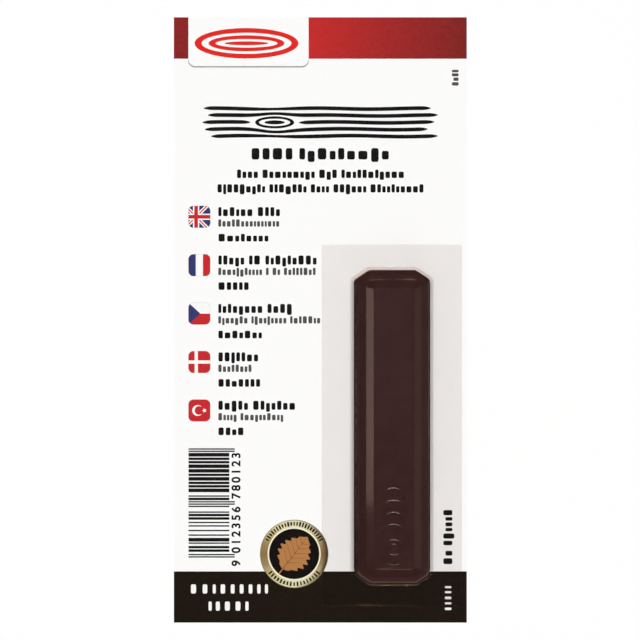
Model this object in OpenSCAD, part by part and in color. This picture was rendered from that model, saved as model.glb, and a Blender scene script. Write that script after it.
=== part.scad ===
// Furniture filler stick in its retail pack: a printed card with a clear formed cover
// that holds a faceted wax bar over a flat spatula.
// The pack lies on its back. The origin is the middle of the card's back, +Z comes out
// of the printed front, +Y runs up the card and +X lies to its right.

/* [Card] */
// Width of the card
card_w = 75; // [65:1:120]
// Height of the card
card_h = 155; // [140:1:220]
// Thickness of the board
card_t = 0.5; // [0.3:0.1:1.5]

/* [Print] */
// Height of the red header
header_h = 10.6; // [5:0.1:25]
// Width of the short header field at the left edge
header_left_w = 3.7; // [1:0.1:10]
// Width of the bare tab between the two header fields
tab_w = 30.8; // [10:0.1:45]
// Height of the dark footer
footer_h = 13.1; // [8:0.1:20]
// Outer radius of the foil ring
seal_r = 8.75; // [6:0.05:11]
// Width of the foil ring
seal_ring_w = 2.25; // [1:0.05:4]
// Height of the ring's centre above the footer's upper edge
seal_rise = 4.5; // [0:0.1:8]
// How far the ring reaches under the cover's rim
seal_tuck = 1.6; // [0:0.1:3]

/* [Cover] */
// Thickness of the formed sheet
cover_t = 0.35; // [0.2:0.05:0.8]
// Clearance between the stick and the cover
cover_gap = 0.3; // [0.25:0.05:1]
// Width of the sealed rim beside the stick
rim_side = 8.1; // [4:0.1:10]
// Width of the sealed rim beyond each end of the stick
rim_end = 6.5; // [4:0.1:10]
// Radius of the rim's corners
rim_corner_r = 0.6; // [0.2:0.1:4]
// Distance from the rim to the card's right edge
rim_edge_gap = 1.35; // [0.5:0.05:4]
// Distance from the rim to the card's lower edge
rim_foot_gap = 4.3; // [1:0.1:10]

/* [Stick] */
// Length of the stick
stick_l = 79.5; // [55:0.5:95]
// Width of the stick
stick_w = 19.5; // [16:0.1:24]
// Height of the stick
stick_h = 9; // [7:0.1:14]
// How far the drafted wall leans in over its height
wall_draft = 0.85; // [0.4:0.05:1.5]
// Width of the facets round the top, seen from above
facet_w = 2.2; // [1:0.05:3]
// Height of those facets
facet_h = 1.55; // [0.8:0.05:3]
// Width of the narrow bevel between the facets and the top, seen from above
bevel_w = 1.8; // [0.8:0.05:2.4]
// Height of that bevel
bevel_h = 0.75; // [0.3:0.05:1.2]
// Cut at each corner, along the stick's ends
corner_cut_w = 3.8; // [2:0.1:4.5]
// Cut at each corner, along the stick's sides
corner_cut_l = 2.5; // [1.5:0.1:4]

/* [Motif] */
// Height of the raised lines on the stick
line_h = 0.2; // [0.1:0.05:0.2]
// Width of the raised lines
line_w = 0.5; // [0.3:0.05:0.6]
// Radius of the motif as a share of half the top face's width
motif_share = 0.61; // [0.5:0.01:0.8]
// Distance from the motif to the lower edge of the top face
motif_foot = 0.5; // [0.3:0.1:20]
// Radius of the knot's ring as a share of the motif's radius
knot_share = 0.72; // [0.6:0.01:0.8]
// Radius of the knot's heart as a share of the motif's radius
heart_share = 0.35; // [0.2:0.01:0.45]
// Rise of the knot's middle above the bowl's, as a share of the motif's radius
knot_rise_share = 0.57; // [0.5:0.01:0.7]
// Number of arches above the knot
arch_count = 4; // [1:1:6]
// Distance from one arch to the next
arch_pitch = 3; // [1.5:0.1:4]

/* [Spatula] */
// Thickness of the spatula
spatula_t = 1.2; // [0.8:0.1:2.4]
// Distance from the spatula to the stick's side
spatula_side_gap = 2.8; // [1.5:0.1:4]
// Distance from the spatula to the stick's end
spatula_end_gap = 2; // [1:0.1:10]
// Radius of the handle's corners
handle_r = 4; // [1:0.1:4.5]
// Length of the bevelled blade
blade_l = 9; // [4:0.5:20]
// Thickness of the blade's edge
blade_edge_t = 0.4; // [0.2:0.1:0.7]
// Number of grip grooves across the handle
groove_count = 6; // [1:1:8]
// Distance from one groove to the next
groove_pitch = 2.2; // [1.5:0.1:3]
// Distance from the handle's end to the first groove
groove_start = 6; // [4.5:0.5:15]
// Radius of the grooves
groove_r = 0.6; // [0.3:0.05:0.7]
// Depth of the grooves
groove_depth = 0.25; // [0.1:0.05:0.3]

/* [Hidden] */
$fn = 64;
// Thickness of a printed or stamped film
film_t = 0.03;
// Thickness of the clear sealing lacquer over the printed card
lacquer_t = 0.05;
// Overrun of every cut past the surface that it opens
over = 1;

// The rim, and where its middle and the stick's middle lie
rim_w = stick_w + 2 * rim_side;
rim_l = stick_l + 2 * rim_end;
pack_x = card_w / 2 - rim_edge_gap - rim_w / 2;
pack_y = -card_h / 2 + rim_foot_gap + rim_l / 2;
// Level of the lacquered face, on which the rim and the spatula lie
face_z = card_t + lacquer_t;
stick_z = face_z + spatula_t;

// The stick's section: its wall takes up the height that facet and bevel leave
wall_h = stick_h - facet_h - bevel_h;
top_inset = wall_draft + facet_w + bevel_w;
// Outward normals of wall, facet and bevel, as angles above the horizontal
wall_n = atan2(wall_draft, wall_h);
facet_n = atan2(facet_w, facet_h);
bevel_n = atan2(bevel_w, bevel_h);
top_n = 90;
// Direction of the corner cuts' normals, and their distance from the stick's middle
corner_turn = atan2(corner_cut_w, corner_cut_l);
corner_half = (stick_w / 2 - corner_cut_w) * cos(corner_turn) + stick_l / 2 * sin(corner_turn);

// The motif: a knot with a solid heart, arches above it and one bowl below
motif_r = (stick_w / 2 - top_inset) * motif_share;
bowl_y = -stick_l / 2 + top_inset + motif_foot + motif_r;
knot_y = bowl_y + motif_r * knot_rise_share;

spatula_w = stick_w - 2 * spatula_side_gap;
spatula_l = stick_l - 2 * spatula_end_gap;

seal_x = pack_x - rim_w / 2 + seal_tuck - seal_r;
seal_y = -card_h / 2 + footer_h + seal_rise;

// A section's corner p between faces with normals n1 and n2, once both moved out by d
function moved(p, n1, n2, d) =
    p + d / cos((n2 - n1) / 2) * [cos((n1 + n2) / 2), sin((n1 + n2) / 2)];

// Right half of the stick's section, from the foot to the top: half is its half width,
// grow moves every face out, and foot carries the wall on below the stick's underside
function half_section(half, grow, foot) = [
    [half + grow / cos(wall_n) + foot * tan(wall_n), -foot],
    moved([half - wall_draft, wall_h], wall_n, facet_n, grow),
    moved([half - wall_draft - facet_w, wall_h + facet_h], facet_n, bevel_n, grow),
    moved([half - top_inset, stick_h], bevel_n, top_n, grow)
];

function section(half, grow, foot) = let (right = half_section(half, grow, foot))
    concat(right, [for (i = [len(right) - 1:-1:0]) [-right[i].x, right[i].y]]);

// The section's bar, with its section across the direction turn
module bar(turn, half, grow, foot) {
    rotate([0, 0, turn]) rotate([90, 0, 0])
        linear_extrude(height = 2 * (rim_w + rim_l), center = true)
            polygon(section(half, grow, foot));
}

// The stick's faceted body about its own middle: sides, ends and cut corners
module faceted(grow = 0, foot = 0) {
    intersection() {
        bar(0, stick_w / 2, grow, foot);
        bar(90, stick_l / 2, grow, foot);
        bar(corner_turn, corner_half, grow, foot);
        bar(-corner_turn, corner_half, grow, foot);
    }
}

module ring(r, w, h) {
    difference() {
        cylinder(r = r, h = h);
        translate([0, 0, -over]) cylinder(r = r - w, h = h + 2 * over);
    }
}

// Half of a ring, on the side of +Y
module arch(r, w, h) {
    intersection() {
        ring(r, w, h);
        translate([-r, 0, 0]) cube([2 * r, r, h]);
    }
}

// A plate with round corners, about the middle of its underside
module rounded_plate(w, l, t, r) {
    linear_extrude(height = t) {
        square([w - 2 * r, l], center = true);
        square([w, l - 2 * r], center = true);
        for (x = [-1, 1], y = [-1, 1])
            translate([x * (w / 2 - r), y * (l / 2 - r)]) circle(r = r);
    }
}

module card() {
    color("white")
        translate([-card_w / 2, -card_h / 2, 0]) cube([card_w, card_h, card_t]);
}

module header_print() {
    right_x = header_left_w + tab_w;
    color([0.6, 0.16, 0.17]) translate([-card_w / 2, card_h / 2 - header_h, card_t]) {
        cube([header_left_w, header_h, film_t]);
        translate([right_x, 0, 0]) cube([card_w - right_x, header_h, film_t]);
    }
}

module footer_print() {
    color([0.13, 0.095, 0.07]) difference() {
        translate([-card_w / 2, -card_h / 2, card_t]) cube([card_w, footer_h, film_t]);
        translate([seal_x, seal_y, card_t - over]) cylinder(r = seal_r, h = film_t + 2 * over);
    }
}

module seal_ring() {
    color([0.75, 0.64, 0.42])
        translate([seal_x, seal_y, card_t]) ring(seal_r, seal_ring_w, film_t);
}

module seal_disc() {
    color([0.1, 0.08, 0.07])
        translate([seal_x, seal_y, card_t]) cylinder(r = seal_r - seal_ring_w, h = film_t);
}

// The raised growth lines, from inside the stick's top face to their own height
module motif() {
    h = line_h + bevel_h;
    translate([0, 0, stick_h - bevel_h]) {
        translate([0, knot_y, 0]) {
            ring(motif_r * knot_share, line_w, h);
            cylinder(r = motif_r * heart_share, h = h);
        }
        translate([0, bowl_y, 0]) mirror([0, 1, 0]) arch(motif_r, line_w, h);
        for (i = [1:arch_count])
            translate([0, knot_y + i * arch_pitch, 0]) arch(motif_r, line_w, h);
    }
}

module wax_stick() {
    color([0.24, 0.15, 0.14]) translate([pack_x, pack_y, stick_z]) {
        faceted();
        motif();
    }
}

// The clear sheet: a flat rim and a chamber that follows the stick
module cover() {
    drop = stick_z - face_z;
    color([0.86, 0.88, 0.9, 0.35]) translate([pack_x, pack_y, stick_z]) difference() {
        union() {
            faceted(cover_gap + cover_t, drop);
            translate([0, 0, -drop]) rounded_plate(rim_w, rim_l, cover_t, rim_corner_r);
        }
        faceted(cover_gap, drop + over);
    }
}

// The flat tool under the stick: its handle is up the card and its blade down
module spatula() {
    blade_y = -spatula_l / 2 + blade_l;
    color([0.9, 0.88, 0.82]) translate([pack_x, pack_y, face_z]) difference() {
        intersection() {
            rotate([90, 0, 90]) linear_extrude(height = spatula_w, center = true) polygon([
                [-spatula_l / 2, 0],
                [spatula_l / 2, 0],
                [spatula_l / 2, spatula_t],
                [blade_y, spatula_t],
                [-spatula_l / 2, blade_edge_t]
            ]);
            translate([0, -handle_r / 2, 0])
                rounded_plate(spatula_w, spatula_l + handle_r, spatula_t, handle_r);
        }
        for (i = [0:groove_count - 1])
            translate([0, spatula_l / 2 - groove_start - i * groove_pitch,
                       spatula_t + groove_r - groove_depth])
                rotate([0, 90, 0]) cylinder(r = groove_r, h = spatula_w + 2 * over, center = true);
    }
}

card();
header_print();
footer_print();
seal_ring();
seal_disc();
spatula();
wax_stick();
cover();
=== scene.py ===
import math
import random

import bmesh
import bpy
import numpy as np
from mathutils import Matrix, Vector


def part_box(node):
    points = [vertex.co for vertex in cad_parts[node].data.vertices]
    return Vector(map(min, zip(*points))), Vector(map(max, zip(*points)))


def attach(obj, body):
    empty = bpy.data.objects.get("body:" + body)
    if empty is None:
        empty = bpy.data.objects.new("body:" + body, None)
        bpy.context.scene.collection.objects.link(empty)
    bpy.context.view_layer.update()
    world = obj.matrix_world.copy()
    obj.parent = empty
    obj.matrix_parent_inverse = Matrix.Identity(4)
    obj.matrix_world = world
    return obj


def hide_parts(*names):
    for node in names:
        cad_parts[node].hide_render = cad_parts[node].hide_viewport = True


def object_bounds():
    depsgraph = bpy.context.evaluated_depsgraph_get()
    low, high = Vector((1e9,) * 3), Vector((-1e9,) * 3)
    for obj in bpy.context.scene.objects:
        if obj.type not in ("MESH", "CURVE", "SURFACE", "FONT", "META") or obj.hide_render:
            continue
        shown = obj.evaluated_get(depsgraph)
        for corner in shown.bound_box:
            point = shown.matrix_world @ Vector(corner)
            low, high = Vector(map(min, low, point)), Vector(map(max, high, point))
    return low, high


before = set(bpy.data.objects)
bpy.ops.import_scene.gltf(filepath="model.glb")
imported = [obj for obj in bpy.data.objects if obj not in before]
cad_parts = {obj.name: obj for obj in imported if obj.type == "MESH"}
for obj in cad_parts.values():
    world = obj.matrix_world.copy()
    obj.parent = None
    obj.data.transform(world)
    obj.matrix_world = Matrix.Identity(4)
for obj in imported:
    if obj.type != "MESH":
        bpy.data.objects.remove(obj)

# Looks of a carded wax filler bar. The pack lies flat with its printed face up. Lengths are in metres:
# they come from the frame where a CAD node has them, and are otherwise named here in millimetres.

cad_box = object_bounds()
MM = 0.001

# The card and its printed films
card_low, card_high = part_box("card")
header_low, header_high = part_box("header_print")
seal_low, seal_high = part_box("seal_ring")
disc_low, disc_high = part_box("seal_disc")
seal_middle = (seal_low + seal_high) / 2
SEAL_RADIUS = (seal_high.x - seal_low.x) / 2
DISC_RADIUS = (disc_high.x - disc_low.x) / 2
FACE = card_high.z
FILM_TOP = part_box("footer_print")[1].z
HEADER_LEFT = 3.7 * MM
TAB_WIDTH = 30.8 * MM
INK = 0.008 * MM

# The wax bar and the sheet formed over it, with the sizes of the CAD section
bar_low, bar_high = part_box("wax_stick")
cover_low, cover_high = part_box("cover")
bar_middle = (bar_low + bar_high) / 2
LINE_HEIGHT = 0.2 * MM
LINE_WIDTH = 0.5 * MM
BAR_WIDTH = bar_high.x - bar_low.x
BAR_LENGTH = bar_high.y - bar_low.y
BAR_HEIGHT = bar_high.z - bar_low.z - LINE_HEIGHT
BAR_FOOT = bar_low.z
WALL_DRAFT = 0.85 * MM
FACET_WIDTH = 2.2 * MM
FACET_HEIGHT = 1.55 * MM
BEVEL_WIDTH = 1.8 * MM
BEVEL_HEIGHT = 0.75 * MM
CUT_WIDTH = 3.8 * MM
CUT_LENGTH = 2.5 * MM
SHEET = 0.35 * MM
COVER_GAP = 0.3 * MM
WALL_HEIGHT = BAR_HEIGHT - FACET_HEIGHT - BEVEL_HEIGHT
TOP_INSET = WALL_DRAFT + FACET_WIDTH + BEVEL_WIDTH

# How round the bar's upright corners are at its foot, and how much rounder for each metre further out,
# and the radii of its foot, shoulder, brow and crown edges
FOOT_CORNER, CORNER_GROWTH = 1.5 * MM, 0.215
BAR_EDGES = [0.15 * MM, 0.5 * MM, 0.4 * MM, 0.3 * MM]

# The raised motif on the bar: an end-grain knot with a bowl below it and arches above
MOTIF_RADIUS = (BAR_WIDTH / 2 - TOP_INSET) * 0.61
MOTIF_FOOT = 0.5 * MM
KNOT_SHARE, HEART_SHARE, KNOT_RISE_SHARE = 0.72, 0.35, 0.57
ARCHES = 4
ARCH_PITCH = 3 * MM
BOWL_Y = -BAR_LENGTH / 2 + TOP_INSET + MOTIF_FOOT + MOTIF_RADIUS
KNOT_Y = BOWL_Y + MOTIF_RADIUS * KNOT_RISE_SHARE

# Painted highlight on the bar: a paler band along the lower edge of its foot end, and how far up the bar it
# reaches
FOOT_GLINT_HEIGHT = BAR_FOOT + WALL_HEIGHT - 0.15 * MM
FOOT_GLINT_BAND = (0.7 * MM, 0.2 * MM)
FOOT_GLINT_END = (bar_low.y + 4.4 * MM, bar_low.y + 3.2 * MM)


def tone(code):
    """An sRGB hex colour in linear light, as nodes take it."""
    parts = [int(code[i:i + 2], 16) / 255 for i in (1, 3, 5)]
    return tuple(c / 12.92 if c <= 0.04045 else ((c + 0.055) / 1.055) ** 2.4 for c in parts) + (1.0,)


def add(tree, kind, inputs=None, stops=(), **settings):
    """Adds a node with its settings. Each input takes a plain value, another node's output, or a node,
    which gives its first live output. Stops are the places and colours of a colour ramp."""
    made = tree.nodes.new(kind)
    for name, value in settings.items():
        setattr(made, name, value)
    for i, (place, code) in enumerate(stops):
        spots = made.color_ramp.elements
        spot = spots[i] if i < len(spots) else spots.new(place)
        spot.position = place
        spot.color = tone(code)
    for name, value in (inputs or {}).items():
        if isinstance(value, bpy.types.Node):
            value = next(socket for socket in value.outputs if socket.enabled)
        if isinstance(value, bpy.types.NodeSocket):
            tree.links.new(value, made.inputs[name])
        else:
            made.inputs[name].default_value = value
    return made


def material(name, surface, *given):
    """A new material. The function surface adds its nodes, from the places on the piece."""
    made = bpy.data.materials.new(name)
    made.use_nodes = True
    tree = made.node_tree
    tree.nodes.clear()
    place = add(tree, "ShaderNodeTexCoord").outputs["Object"]
    add(tree, "ShaderNodeOutputMaterial", {"Surface": surface(tree, place, *given)})
    return made


def per_metre(size):
    """Texture scale that gives a pattern features of this size in millimetres."""
    return 1 / (size * MM)


# MATERIALS

def bleached_board(tree, place):
    """Coated bleached board under gloss lacquer. The eye sees a bright even white with the faintest
    cloudiness of the fibres under the coating, and a duller, fibrous cut edge."""
    # Fibres are about 0.03 mm wide, and show here as clumps of 0.7 mm
    fibres = add(tree, "ShaderNodeTexNoise", {"Vector": place, "Scale": per_metre(0.7), "Detail": 5.0})
    normal = add(tree, "ShaderNodeNewGeometry").outputs["Normal"]
    up = add(tree, "ShaderNodeSeparateXYZ", {0: normal}).outputs["Z"]
    flat = add(tree, "ShaderNodeMapRange", {"Value": up, "From Min": 0.3, "From Max": 0.8})
    coat = add(tree, "ShaderNodeMix", {0: fibres, 6: tone("#FCFCFB"), 7: tone("#FEFEFD")}, data_type="RGBA")
    shade = add(tree, "ShaderNodeMix", {0: flat, 6: tone("#DEDAD2"), 7: coat}, data_type="RGBA")
    grain = add(tree, "ShaderNodeBump", {"Height": fibres, "Strength": 0.15, "Distance": 0.01 * MM})
    return add(tree, "ShaderNodeBsdfPrincipled", {
        "Base Color": shade, "Roughness": 0.42, "Specular IOR Level": 0.4, "IOR": 1.5, "Normal": grain})


def plain_ink(tree, place, colour, roughness=0.35, thinnest=0.01):
    """Offset ink under the board's lacquer. The eye sees a flat dense colour that just fails to be
    even, because the ink lies a little thinner between the fibres, by the share thinnest at most."""
    mottle = add(tree, "ShaderNodeTexNoise", {"Vector": place, "Scale": per_metre(0.9), "Detail": 4.0})
    thin = add(tree, "ShaderNodeMapRange", {"Value": mottle, "From Min": 0.35, "From Max": 0.65,
                                            "To Max": thinnest})
    shade = add(tree, "ShaderNodeMix", {0: thin, 6: colour, 7: tone("#D8D4CE")}, data_type="RGBA")
    return add(tree, "ShaderNodeBsdfPrincipled", {
        "Base Color": shade, "Roughness": roughness, "Specular IOR Level": 0.12, "IOR": 1.5})


def offset_ink(name, code, *given):
    return material("offset " + name, plain_ink, tone(code), *given)


def graded_red_ink(tree, place):
    """Offset red, graded along the header. The eye sees a bright red beside the tab that deepens
    evenly towards the card's right edge, and the deep red alone at the left edge."""
    along = add(tree, "ShaderNodeSeparateXYZ", {0: place}).outputs["X"]
    start = header_low.x + HEADER_LEFT
    run = add(tree, "ShaderNodeMapRange", {"Value": along, "From Min": start, "From Max": header_high.x})
    tab_share = TAB_WIDTH / (header_high.x - start)
    shade = add(tree, "ShaderNodeValToRGB", {"Fac": run}, stops=(
        (0.0, "#8B2121"), (tab_share * 0.5, "#8B2121"), (tab_share, "#C42827"),
        ((tab_share + 1) / 2, "#A22423"), (1.0, "#7F211F")))
    return plain_ink(tree, place, shade)


def hot_stamped_foil(tree, place):
    """Pale gold foil, hot stamped. Its colour holds a painted reflection, cream above and below and falling
    to brown gold at its two sides, and a painted shade on its right edge, with the fine brushed lines of the
    foil round it."""
    centred = add(tree, "ShaderNodeMapping", {"Vector": place, "Location": -seal_middle})
    spoke = add(tree, "ShaderNodeVectorMath", {0: centred}, operation="LENGTH")
    across = add(tree, "ShaderNodeSeparateXYZ", {0: centred}).outputs
    rise = add(tree, "ShaderNodeMath", {0: across["Y"], 1: spoke}, operation="DIVIDE")
    steep = add(tree, "ShaderNodeMath", {0: rise}, operation="ABSOLUTE")
    # Painted reflection: cream above and below, brown gold at the two sides, set by the angle round the ring
    shade = add(tree, "ShaderNodeValToRGB", {"Fac": steep}, stops=(
        (0.0, "#93774A"), (0.35, "#A98F5E"), (0.7, "#D6C590"), (0.9, "#E5DEAD"), (1.0, "#ECE6BC")))
    # Painted shade: the foil's outer edge darkens towards its right side
    painted_edge_shade = add(tree, "ShaderNodeMapRange", {"Value": spoke, "From Min": SEAL_RADIUS - 1.4 * MM,
                                               "From Max": SEAL_RADIUS}, interpolation_type="SMOOTHSTEP")
    aside = add(tree, "ShaderNodeMath", {0: across["X"], 1: spoke}, operation="DIVIDE", use_clamp=True)
    fall = add(tree, "ShaderNodeMath", {0: painted_edge_shade, 1: aside}, operation="MULTIPLY")
    brushed = add(tree, "ShaderNodeTexNoise", {"W": spoke, "Scale": per_metre(0.12), "Detail": 2.0},
                  noise_dimensions="1D")
    lined = add(tree, "ShaderNodeMix", {0: brushed, 6: tone("#F2F2F2"), 7: tone("#FFFFFF")}, data_type="RGBA")
    foil = add(tree, "ShaderNodeMix", {0: 1.0, 6: shade, 7: lined}, data_type="RGBA", blend_type="MULTIPLY")
    shaded = add(tree, "ShaderNodeMix", {0: fall, 6: foil, 7: tone("#2E2819")}, data_type="RGBA")
    return add(tree, "ShaderNodeBsdfPrincipled", {
        "Base Color": shaded, "Metallic": 0.15, "Roughness": 0.35})


def cast_wax(tree, place, shine):
    """Hard pigmented wax, cast. The eye sees a dark red brown that lets a little light in, with soft
    sheen on its crown, slow hollows where it shrank and a fine dull grain. Its walls and ends, which
    slid out of the mould, have no shine. A painted highlight makes the lower edge of its foot end
    paler in patches, in place of the light that falls on that edge from beyond the foot."""
    stirred = add(tree, "ShaderNodeTexNoise", {"Vector": place, "Scale": per_metre(4), "Detail": 6.0,
                                               "Roughness": 0.6, "Distortion": 0.6})
    shade = add(tree, "ShaderNodeValToRGB", {"Fac": stirred}, stops=(
        (0.3, "#3A2221"), (0.5, "#3D2422"), (0.75, "#412826")))
    # Painted highlight: the lower edge of the foot end is made paler in patches, in place of the light from
    # beyond the foot
    where = add(tree, "ShaderNodeSeparateXYZ", {0: place}).outputs
    above = add(tree, "ShaderNodeMath", {0: where["Z"], 1: FOOT_GLINT_HEIGHT}, operation="SUBTRACT")
    off_edge = add(tree, "ShaderNodeMath", {0: above}, operation="ABSOLUTE")
    edge, end = [add(tree, "ShaderNodeMapRange", {"Value": far, "From Min": fades, "From Max": full},
                     interpolation_type="SMOOTHSTEP")
                 for far, (fades, full) in ((off_edge, FOOT_GLINT_BAND), (where["Y"], FOOT_GLINT_END))]
    glint_patches = add(tree, "ShaderNodeMapRange", {"Value": stirred, "From Min": 0.3, "From Max": 0.65,
                                              "To Min": 0.6})
    glint_band = add(tree, "ShaderNodeMath", {0: edge, 1: end}, operation="MULTIPLY")
    foot_glint = add(tree, "ShaderNodeMath", {0: glint_band, 1: glint_patches}, operation="MULTIPLY")
    with_foot_glint = add(tree, "ShaderNodeMix", {0: foot_glint, 6: shade, 7: tone("#6C5245")}, data_type="RGBA")
    hollows = add(tree, "ShaderNodeTexNoise", {"Vector": place, "Scale": per_metre(9), "Detail": 2.0})
    # The real grain is under 0.05 mm and is drawn at 0.3 mm, so that it shows
    grain = add(tree, "ShaderNodeTexNoise", {"Vector": place, "Scale": per_metre(0.3), "Detail": 4.0})
    slow = add(tree, "ShaderNodeBump", {"Height": hollows, "Strength": 0.6, "Distance": 0.12 * MM})
    fine = add(tree, "ShaderNodeBump", {"Height": grain, "Strength": 0.25, "Distance": 0.006 * MM,
                                        "Normal": slow})
    rough = add(tree, "ShaderNodeMapRange", {"Value": stirred, "From Min": 0.3, "From Max": 0.7,
                                             "To Min": 0.16, "To Max": 0.21})
    return add(tree, "ShaderNodeBsdfPrincipled", {
        "Base Color": with_foot_glint, "Roughness": rough, "IOR": 1.44, "Specular IOR Level": shine,
        "Subsurface Weight": 0.12, "Subsurface Radius": (1.0, 0.45, 0.3), "Subsurface Scale": 0.6 * MM,
        "Normal": fine})


def formed_clear_sheet(tree, place):
    """Clear polyester sheet, vacuum formed. The eye sees through it with a slight warm grey, darker
    where it looks along the walls, and warm glints run along its rounded edges."""
    drawn = add(tree, "ShaderNodeTexNoise", {"Vector": place, "Scale": per_metre(7), "Detail": 2.0})
    wavy = add(tree, "ShaderNodeBump", {"Height": drawn, "Strength": 0.3, "Distance": 0.05 * MM})
    facing = add(tree, "ShaderNodeLayerWeight", {"Blend": 0.35}).outputs["Facing"]
    sheet = add(tree, "ShaderNodeMix", {0: drawn, 6: tone("#FDFCFC"), 7: tone("#FBFBFB")}, data_type="RGBA")
    shape = add(tree, "ShaderNodeNewGeometry").outputs
    way = add(tree, "ShaderNodeSeparateXYZ", {0: shape["Normal"]}).outputs
    # The sheet greys where it is seen at a slant, but hardly in its end walls, which stay clear as a painted
    # highlight in place of the reflection they show
    end_on = add(tree, "ShaderNodeMath", {0: way["Y"]}, operation="ABSOLUTE")
    greying_with_lit_ends = add(tree, "ShaderNodeMapRange", {"Value": end_on, "To Min": 1.0, "To Max": 0.1})
    grey = add(tree, "ShaderNodeMath", {0: facing, 1: greying_with_lit_ends}, operation="MULTIPLY")
    tint = add(tree, "ShaderNodeMix", {0: grey, 6: sheet, 7: tone("#E6E4E3")}, data_type="RGBA")
    clear = add(tree, "ShaderNodeBsdfTransparent", {"Color": tint})
    gloss = add(tree, "ShaderNodeBsdfGlossy", {"Color": tone("#F6DFD0"), "Roughness": 0.06, "Normal": wavy})
    # Only the face that looks out gives light back. The long walls and the foot end, drawn thin,
    # give back little.
    aside = add(tree, "ShaderNodeMath", {0: way["X"]}, operation="ABSOLUTE")
    footward = add(tree, "ShaderNodeMath", {0: way["Y"], 1: -1.0}, operation="MULTIPLY")
    steep = add(tree, "ShaderNodeMath", {0: aside, 1: footward}, operation="MAXIMUM")
    bounce = add(tree, "ShaderNodeFresnel", {"IOR": 1.5})
    most = add(tree, "ShaderNodeMapRange", {"Value": steep, "From Min": 0.57, "From Max": 0.92,
                                            "To Min": 1.0, "To Max": 0.006})
    capped = add(tree, "ShaderNodeMath", {0: bounce, 1: most}, operation="MINIMUM")
    front = add(tree, "ShaderNodeMath", {0: 1.0, 1: shape["Backfacing"]}, operation="SUBTRACT")
    share = add(tree, "ShaderNodeMath", {0: capped, 1: front}, operation="MULTIPLY")
    return add(tree, "ShaderNodeMixShader", {0: share, 1: clear, 2: gloss})


def moulded_polypropylene(tree, place):
    """Natural polypropylene, injection moulded. The eye sees a milky off-white with a waxy sheen
    and the fine spark-eroded texture of its mould."""
    flow = add(tree, "ShaderNodeTexNoise", {"Vector": place, "Scale": per_metre(12), "Detail": 3.0})
    shade = add(tree, "ShaderNodeMix", {0: flow, 6: tone("#D9D4C6"), 7: tone("#E4E0D5")}, data_type="RGBA")
    pits = add(tree, "ShaderNodeTexNoise", {"Vector": place, "Scale": per_metre(0.15), "Detail": 2.0})
    fine = add(tree, "ShaderNodeBump", {"Height": pits, "Strength": 0.4, "Distance": 0.01 * MM})
    return add(tree, "ShaderNodeBsdfPrincipled", {
        "Base Color": shade, "Roughness": 0.45, "IOR": 1.49, "Subsurface Weight": 0.15,
        "Subsurface Radius": (1.0, 0.9, 0.7), "Subsurface Scale": 1.0 * MM, "Normal": fine})


# PIECES

def placed(name, data):
    """A new object with this data, in the scene."""
    made = bpy.data.objects.new(name, data)
    bpy.context.scene.collection.objects.link(made)
    return made


def as_mesh(thing):
    """The mesh that an object gives once its modifiers have run. The object itself goes."""
    graph = bpy.context.evaluated_depsgraph_get()
    mesh = bpy.data.meshes.new_from_object(thing.evaluated_get(graph))
    bpy.data.objects.remove(thing)
    return mesh


def finished(name, mesh, materials, body, replaces=()):
    """Links a mesh as a piece with its materials, on the body that it moves with, and hides the CAD parts it
    replaces.
    """
    if isinstance(mesh, bmesh.types.BMesh):
        bm, mesh = mesh, bpy.data.meshes.new(name)
        bm.to_mesh(mesh)
        bm.free()
    piece = placed(name, mesh)
    if not mesh.materials:
        for one in materials:
            mesh.materials.append(one)
    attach(piece, body)
    if replaces:
        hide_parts(*replaces)
    return piece


def arc(x, y, radius, start, end, steps):
    return [(x + radius * math.cos(start + (end - start) * i / steps),
             y + radius * math.sin(start + (end - start) * i / steps)) for i in range(steps + 1)]


def rounded_outline(middle_x, middle_y, half_x, half_y, corner, steps):
    """A closed line with round corners, whose reach is given to the middles of their arcs."""
    line = []
    for quarter, (x, y) in enumerate([(1, 1), (-1, 1), (-1, -1), (1, -1)]):
        start = quarter * math.pi / 2
        line += arc(middle_x + x * half_x, middle_y + y * half_y, corner, start, start + math.pi / 2, steps)
    return line


def rounded_line(points, radii, steps=5):
    """An open line of points in which each inner corner is an arc of its radius."""
    line = [points[0]]
    for before, corner, after, radius in zip(points, points[1:], points[2:], radii):
        back = (Vector(before) - Vector(corner)).normalized()
        on = (Vector(after) - Vector(corner)).normalized()
        half = back.angle(on) / 2
        middle = Vector(corner) + (back + on).normalized() * radius / math.sin(half)
        first = Vector(corner) + back * radius / math.tan(half)
        last = Vector(corner) + on * radius / math.tan(half)
        sweep = math.pi - 2 * half
        for i in range(steps + 1):
            t = i / steps
            a, b = math.sin((1 - t) * sweep) / math.sin(sweep), math.sin(t * sweep) / math.sin(sweep)
            line.append(tuple(middle + (first - middle) * a + (last - middle) * b))
    return line + [points[-1]]


def moved_corner(point, first, second, out):
    """A section's corner between faces with these normals, once both have moved out."""
    reach = out / math.cos((second - first) / 2)
    turn = (first + second) / 2
    return point[0] + reach * math.cos(turn), point[1] + reach * math.sin(turn)


def section(out, foot):
    """Foot and upper corners of the bar's section, as distance out from the foot line and height."""
    wall = math.atan2(WALL_DRAFT, WALL_HEIGHT)
    facet = math.atan2(FACET_WIDTH, FACET_HEIGHT)
    bevel = math.atan2(BEVEL_WIDTH, BEVEL_HEIGHT)
    shoulder = (-WALL_DRAFT, WALL_HEIGHT)
    brow = (-WALL_DRAFT - FACET_WIDTH, WALL_HEIGHT + FACET_HEIGHT)
    crown = (-TOP_INSET, BAR_HEIGHT)
    return [
        (out / math.cos(wall) + foot * math.tan(wall), -foot),
        moved_corner(shoulder, wall, facet, out),
        moved_corner(brow, facet, bevel, out),
        moved_corner(crown, bevel, math.pi / 2, out)]


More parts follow.
